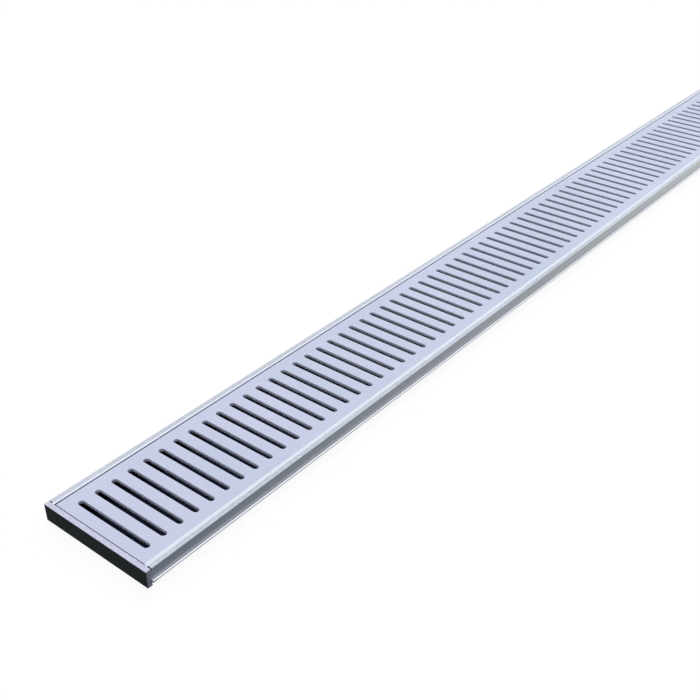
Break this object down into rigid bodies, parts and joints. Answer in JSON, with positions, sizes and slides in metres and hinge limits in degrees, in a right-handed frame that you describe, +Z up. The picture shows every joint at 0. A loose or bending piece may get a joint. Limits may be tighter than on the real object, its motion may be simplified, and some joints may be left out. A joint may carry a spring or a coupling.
{
  "type": "channel drain",
  "caption": "Shallow straight floor drain: an extruded channel with side fins, a slotted grate lying level between its rims, and a plug-in cap at each end",
  "frame": {"origin": "under the middle of the drain, on the surface that its floor and end caps stand on", "axes": "+X along the drain, +Y across it, +Z up out of the floor"},
  "size_m": [1.2, 0.1026, 0.014],
  "materials": {
    "channel_aluminium": "satin anodised, drawn along the length",
    "grate_aluminium": "satin anodised, fine even grain",
    "cap_aluminium": "satin anodised, plain"
  },
  "bodies": {
    "root": {"channel": "channel_aluminium", "grate": "grate_aluminium", "near_end_cap": "cap_aluminium", "far_end_cap": "cap_aluminium"}
  },
  "joints": []
}
